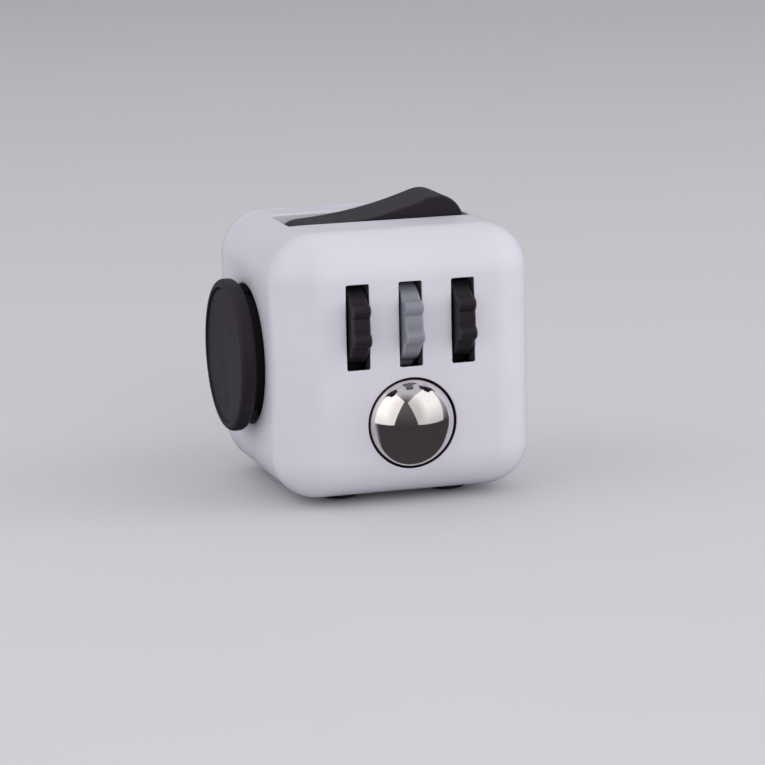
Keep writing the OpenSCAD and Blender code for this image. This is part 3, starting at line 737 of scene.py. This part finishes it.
def wheel_outline(count=480):
    """The bumpy outline in the plane of Y and Z, about the axle."""
    angles = np.linspace(0, TURN, count, endpoint=False)
    radius = np.full(count, WHEEL["base"])
    for pair in range(WHEEL["pairs"]):
        for side in (-0.5, 0.5):
            at = math.radians(180 - WHEEL["phase"] + 360 * pair / WHEEL["pairs"] + WHEEL["split"] * side)
            off = (angles - at + math.pi) % TURN - math.pi
            inside = WHEEL["bump"] ** 2 - (WHEEL["bump_at"] * np.sin(off)) ** 2
            bump = np.where((inside > 0) & (np.abs(off) < 1),
                            WHEEL["bump_at"] * np.cos(off) + np.sqrt(np.maximum(inside, 0)), 0)
            radius = smooth_max(radius, bump, WHEEL["blend"])
    radius = np.minimum(radius, WHEEL["bump"] + WHEEL["bump_at"])
    return np.stack([radius * np.cos(angles), radius * np.sin(angles)], axis=1)


def outward(loop):
    """Unit normals of a closed loop that runs anticlockwise."""
    along = np.roll(loop, -1, axis=0) - np.roll(loop, 1, axis=0)
    return unit(np.stack([along[:, 1], -along[:, 0]], axis=1))


def prism(s, loop, half, round_off, place, holes=()):
    """A plate with a rounded outline edge. place takes (a, b, along) to a point."""
    normals = outward(loop)
    rings = []
    for side in (-1, 1):
        steps = range(ARC_STEPS + 1) if side < 0 else range(ARC_STEPS, -1, -1)
        for k in steps:
            turn = k / ARC_STEPS * math.pi / 2
            inset = round_off * (1 - math.sin(turn))
            along = np.full(len(loop), side * (half - round_off * (1 - math.cos(turn))))
            lean = np.full(len(loop), side * math.cos(turn))
            points, out = place(loop - normals * inset, along), place(normals * math.sin(turn), lean, True)
            rings.append((points, out, k))
    for (a, na, ka), (b, nb, kb) in zip(rings, rings[1:]):
        s.strip(a, b, na, nb)
        if 0 < ka < ARC_STEPS:
            s.wear(a)
    inset_loop = loop - normals * round_off
    for side in (-1, 1):
        fill(s, lambda ab, side=side: (place(ab, np.full(len(ab), side * half)),
                                       place(np.zeros_like(ab), np.full(len(ab), float(side)), True)),
             inset_loop, holes)


def wheel(name, slot_name):
    s = Surface()
    middle = node_centre("wheel_" + name)
    axle = np.array([middle[0], AXLE[1], AXLE[2]])

    def place(ab, along, direction=False):
        points = np.stack([along, ab[:, 0], ab[:, 1]], axis=1)
        return points if direction else points + axle

    hub = circle(WHEEL["hub"], count=64)(0, 0)
    prism(s, wheel_outline(), WHEEL["half"], WHEEL["round"], place, [hub])
    for side in (-1.0, 1.0):
        end, flat = side * WHEEL["hub_half"], side * WHEEL["half"]
        profile = [(WHEEL["hub"], flat, 1, 0), (WHEEL["hub"], end, 1, 0),
                   (WHEEL["hub"], end, 0, side), (WHEEL["bore"], end, 0, side)]
        lathe(s, profile, axle, (1, 0, 0), (0, 1, 0), 64)
    bore = [(WHEEL["bore"], -WHEEL["hub_half"], -1, 0), (WHEEL["bore"], WHEEL["hub_half"], -1, 0)]
    lathe(s, bore, axle, (1, 0, 0), (0, 1, 0), 64)
    s.build("thumb_wheel_" + name, "wheel_" + name, slot_name, "wheel_" + name)


def ball():
    s = Surface()
    rows = 96
    profile = []
    for k in range(rows + 1):
        out, rise = math.sin(math.pi * k / rows), math.cos(math.pi * k / rows)
        profile.append((BALL_RADIUS * out, BALL_RADIUS * rise, out, rise))
    lathe(s, profile, BALL, (0, 1, 0), (1, 0, 0), 160)
    s.build("steel_ball", "ball", "ball_steel", "ball")


# Thumb pad, dial and buttons

def thumb_pad():
    s = Surface()
    rim, top, bottom, soft, under_round = 9.55, 3.1, 1.0, 0.8, 0.2
    mouth, depth, step, lip = 8.5, 0.85, 0.25, 0.12
    sphere = (mouth ** 2 + depth ** 2) / (2 * depth)
    dish_at = top - step - depth + sphere
    turn = math.asin(mouth / sphere)
    neck, neck_end, pilot = 7.3, 14.2 - FACE, 0.65
    profile = [(neck, neck_end, 1, 0), (neck, bottom - under_round, 1, 0)]
    profile += arc((neck + under_round, bottom - under_round), under_round, 180, 90, 4, inward=True)
    profile += [(rim - soft, bottom, 0, -1)]
    profile += arc((rim - soft, bottom + soft), soft, -90, 0)
    profile += arc((rim - soft, top - soft), soft, 0, 90)
    profile += arc((mouth + lip, top - lip), lip, 90, 180, 6)
    profile += bowl(sphere, dish_at, turn, 20)
    lathe(s, profile, (-FACE, 0, 0), (-1, 0, 0), (0, 0, 1), 144)
    hole = [(neck, neck_end, 0, -1), (pilot, neck_end, 0, -1), (pilot, neck_end, -1, 0), (pilot, 0, -1, 0),
            (pilot, 0, 0, -1), (0, 0, 0, -1)]
    lathe(s, hole, (-FACE, 0, 0), (-1, 0, 0), (0, 0, 1), 144)
    s.build("thumb_pad", "glide_pad", "black_plastic", "glide_pad")


def dial():
    s = Surface()
    radius, under, top, soft = 9.2, FACE - 1.3, FACE + 1.5, 0.6
    nub_at, nub_radius, nub_level = 5.9, 1.8, top - 0.7
    hollow, hollow_depth, slope, blend = 3.32, 0.35, 0.35, 0.3
    stem, stem_end = 2, FACE - 4.2
    count = 216

    def crown(ab):
        """Height of the dial's face: a shallow hollow in the middle and a nub near the edge."""
        r = np.hypot(ab[:, 0], ab[:, 1])
        paint_shade = np.clip((hollow - r) / slope, 0, 1)
        level = top - hollow_depth * paint_shade * paint_shade * (3 - 2 * paint_shade)
        off = np.hypot(ab[:, 0], ab[:, 1] - nub_at)
        nub = np.where(off < nub_radius, nub_level + np.sqrt(np.maximum(nub_radius ** 2 - off ** 2, 0)), -9)
        return np.minimum(smooth_max(level, nub, blend), nub_level + nub_radius)

    radii = [0.0, *np.linspace(0.4, 2.6, 8), *np.linspace(2.7, 3.5, 14), *np.linspace(3.6, 8.0, 58)]
    radii.append(radius - soft)
    step = 0.02
    rings, normals = [], []
    for r in radii:
        ab = spokes_of(count) * r
        rings.append(to_axes(BACK, ab[:, 0], ab[:, 1], crown(ab)))
        da = (crown(ab + [step, 0]) - crown(ab - [step, 0])) / (2 * step)
        db = (crown(ab + [0, step]) - crown(ab - [0, step])) / (2 * step)
        normals.append(unit(to_axes(BACK, -da, -db, np.ones(count))))
    for k in range(len(radii) - 1):
        s.strip(rings[k], rings[k + 1], normals[k], normals[k + 1])
    profile = arc((radius - soft, top - soft), soft, 90, 0)
    profile += [(radius, under, 1, 0), (radius, under, 0, -1), (stem, under, 0, -1), (stem, under, 1, 0),
                (stem, stem_end, 1, 0), (stem, stem_end, 0, -1), (0, stem_end, 0, -1)]
    lathe(s, profile, (0, 0, 0), (0, 1, 0), (1, 0, 0), count)
    s.build("back_dial", "dial", "black_plastic", "dial")


def button(name, slot_name):
    s = Surface()
    node = "button_" + name
    middle = node_centre(node)
    tip = (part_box(node)[0].z - CENTRE.z) / MM
    flange, flange_bottom, flange_top, nib_top, nib, soft = 3.2, -14.35, -13.7, -13.5, 1.0, 0.35
    r, crown = BUTTON_RADIUS, 0.05
    profile = [(0, tip, 0, -1), (r - soft - 0.6, tip, 0, -1), (r - soft, tip + crown * 0.6, 0.15, -0.99)]
    profile += arc((r - soft, tip + crown + soft), soft, -80, 0, 6)
    profile += [(r, flange_bottom, 1, 0), (r, flange_bottom, 0, -1), (flange, flange_bottom, 0, -1),
                (flange, flange_bottom, 1, 0), (flange, flange_top, 1, 0), (flange, flange_top, 0, 1),
                (nib, flange_top, 0, 1), (nib, flange_top, 1, 0), (nib, nib_top, 1, 0), (nib, nib_top, 0, 1),
                (0, nib_top, 0, 1)]
    lathe(s, profile, (middle[0], middle[1], 0), (0, 0, 1), (1, 0, 0), 72)
    s.build("push_" + node, node, slot_name, node)


# Rocker

def rocker():
    s = Surface()
    reach, end_radius, end_height, hollow, half = 8.0, 3.5, 1.6, 0.6, 4.1
    edge_round, pin_hole, pin_count, smoothings = 0.28, 0.95, 48, 6
    pivot = node_centre("rocker_pin")[2]
    tilt = math.radians(11)
    scoop = (reach ** 2 + hollow ** 2) / (2 * hollow)
    lift = end_height + end_radius - hollow + scoop
    top = []
    for k in range(61):
        x = reach - 2 * reach * k / 60
        top.append((x, lift - math.sqrt(scoop ** 2 - x ** 2)))
    under = [(-reach + 2 * reach * k / 40, end_height - end_radius) for k in range(41)]
    ends = []
    for at, start in ((-reach, 90), (reach, -90)):
        turns = [math.radians(start + 180 * k / 40) for k in range(1, 40)]
        ends.append([(at + end_radius * math.cos(t), end_height + end_radius * math.sin(t)) for t in turns])
    loop = np.array(top + ends[0] + under + ends[1])
    for _ in range(smoothings):
        loop = 0.5 * loop + 0.25 * (np.roll(loop, 1, axis=0) + np.roll(loop, -1, axis=0))

    def place(ab, along, direction=False):
        x = ab[:, 0] * math.cos(tilt) - ab[:, 1] * math.sin(tilt)
        z = ab[:, 0] * math.sin(tilt) + ab[:, 1] * math.cos(tilt)
        points = np.stack([x, along, z], axis=1)
        return points if direction else points + np.array([0, 0, pivot])

    bore = circle(pin_hole, count=pin_count)(0, 0)
    prism(s, loop, half, edge_round, place, [bore])
    left, right = (place(bore, np.full(pin_count, side * half)) for side in (-1, 1))
    out = place(-unit(bore), np.zeros(pin_count), True)
    s.strip(left, right, out, out)
    s.build("rocker_key", "rocker", "black_plastic", "rocker")


# Springs, domes and soft pads that a press squeezes

def squeezed_pieces():
    """Copies each node that a one-way press deforms onto the case, in place of the node; the copy keeps its
    shape.
    """
    for joint in frame["record"]["behaviour"]["joints"]:
        start, stop = joint.get("range_m", (0, 0))
        if start < 0:
            continue
        for soft in joint.get("deforming_nodes", []):
            node, letter = soft["node"], soft["mode"][-1]
            along = "xyz".index(letter)
            axis, anchor = [0, 0, 0], [0, 0, 0]
            axis[along], anchor[along] = 1, soft[f"fixed_end_{letter}_m"]
            length = max(abs(corner[along] - anchor[along]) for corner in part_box(node))
            source = frame["nodes"][node]
            mesh = source.data.copy()
            mesh.transform(source.matrix_world)
            piece = bpy.data.objects.new("soft_" + node, mesh)
            bpy.context.scene.collection.objects.link(piece)
            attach(piece, "case")
            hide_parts(node)
            tuple(axis)
            tuple(anchor)
            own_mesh(piece)


main_shell()
back_cover()
squeezed_pieces()
for wheel_name in WHEELS:
    wheel(wheel_name, "grey_plastic" if wheel_name == "middle" else "black_plastic")
ball()
thumb_pad()
rocker()
dial()
for button_name in BUTTONS:
    button(button_name, "grey_plastic" if button_name == "centre" else "black_plastic")


# Floor, light and camera

def floor():
    mesh = bpy.data.meshes.new("floor")
    size = 2.5
    corners = [(-size, -size, 0), (size, -size, 0), (size, size, 0), (-size, size, 0)]
    mesh.from_pydata(corners, [], [(0, 1, 2, 3)])
    made, tree, shader = nodes_of("floor_paper")
    paper = blend_colours(tree, noise(tree, 8, detail=3), (0.70, 0.70, 0.715), (0.665, 0.665, 0.68))
    tree.links.new(paper, shader.inputs["Base Color"])
    shader.inputs["Roughness"].default_value = 0.75
    mesh.materials.append(made)
    piece = bpy.data.objects.new("floor", mesh)
    bpy.context.scene.collection.objects.link(piece)
    piece.visible_glossy = False


def softbox(name, position, width, tall, power, tint, mirrored=True):
    """A rectangular lamp that faces the cube. One that isn't mirrored leaves no reflection of itself."""
    light = bpy.data.lights.new(name, "AREA")
    light.shape = "RECTANGLE"
    light.size, light.size_y = width, tall
    light.energy = power
    light.color = tint
    lamp = bpy.data.objects.new(name, light)
    lamp.location = position
    lamp.visible_glossy = mirrored
    aim = CENTRE - Vector(position)
    lamp.rotation_euler = aim.to_track_quat("-Z", "Y").to_euler()
    bpy.context.scene.collection.objects.link(lamp)


def camera():
    """The photograph's view. offset is where the cube's centre lies from it: right, down, ahead, in mm."""
    azimuth, elevation, roll = math.radians(-16.718), math.radians(11.449), math.radians(-1.178)
    offset = np.array([-1.241, -4.918, 427.77])
    ahead = np.array([-math.sin(azimuth) * math.cos(elevation), math.cos(azimuth) * math.cos(elevation),
                      -math.sin(elevation)])
    right = np.array([math.cos(azimuth), math.sin(azimuth), 0])
    up = np.cross(right, ahead)
    rows = np.array([right, -up, ahead])
    c, s = math.cos(roll), math.sin(roll)
    rows = np.array([[c, -s, 0], [s, c, 0], [0, 0, 1]]) @ rows
    spot = CENTRE + MM * Vector(-rows.T @ offset)
    view = bpy.data.cameras.new("camera")
    view.lens = 158.98
    view.sensor_width = 36
    view.clip_start = 0.01
    holder = bpy.data.objects.new("camera", view)
    turn = np.array([rows[0], -rows[1], -rows[2]]).T
    holder.matrix_world = Matrix.Translation(spot) @ Matrix(turn.tolist()).to_4x4()
    bpy.context.scene.collection.objects.link(holder)
    bpy.context.scene.camera = holder


def studio():
    """Two large soft boxes at the front corners and smaller fills round the cube. The sky darkens below
    the horizon and straight ahead of the cube, and is bright low behind its left side."""
    world = bpy.data.worlds.new("studio")
    bpy.context.scene.world = world
    world.use_nodes = True
    tree = world.node_tree
    where = tree.nodes.new("ShaderNodeTexCoord")
    parts = tree.nodes.new("ShaderNodeSeparateXYZ")
    tree.links.new(where.outputs["Generated"], parts.inputs["Vector"])
    level = spread(tree, parts.outputs["Z"], 0, 1, -0.12, 0.5)
    facing = tree.nodes.new("ShaderNodeVectorMath")
    facing.operation = "DOT_PRODUCT"
    facing.inputs[1].default_value = (-0.27, -0.88, 0.39)
    tree.links.new(where.outputs["Generated"], facing.inputs[0])
    level = multiply(tree, level, spread(tree, facing.outputs["Value"], 1, 0.12, 0.62, 0.86))
    behind = tree.nodes.new("ShaderNodeVectorMath")
    behind.operation = "DOT_PRODUCT"
    behind.inputs[1].default_value = (-0.755, 0.624, -0.2)
    tree.links.new(where.outputs["Generated"], behind.inputs[0])
    sky = blend_colours(tree, level, (0.055, 0.050, 0.054), (0.56, 0.56, 0.585))
    sky = blend_colours(tree, spread(tree, behind.outputs["Value"], 0, 1, 0.75, 1.0), sky, (0.9, 0.88, 0.95))
    tree.links.new(sky, tree.nodes["Background"].inputs["Color"])
    tree.nodes["Background"].inputs["Strength"].default_value = 1.0
    warm, white = (1, 0.975, 0.96), (1, 1, 1)
    softbox("softbox_left", (-0.56, -0.14, 0.345), 0.97, 0.93, 2.48, warm)
    softbox("softbox_right", (0.42, -0.42, 0.345), 1.10, 0.93, 1.92, warm)
    softbox("softbox_top", (0.0, 0.40, 0.62), 0.5, 0.5, 0.25, white)
    softbox("softbox_front", (0.05, -0.80, 0.26), 0.6, 0.5, 1.82, white, mirrored=False)
    softbox("softbox_side", (0.80, -0.22, 0.16), 0.4, 0.4, 1.5, white, mirrored=False)
    bpy.context.scene.view_settings.view_transform = "Standard"


floor()
studio()
camera()
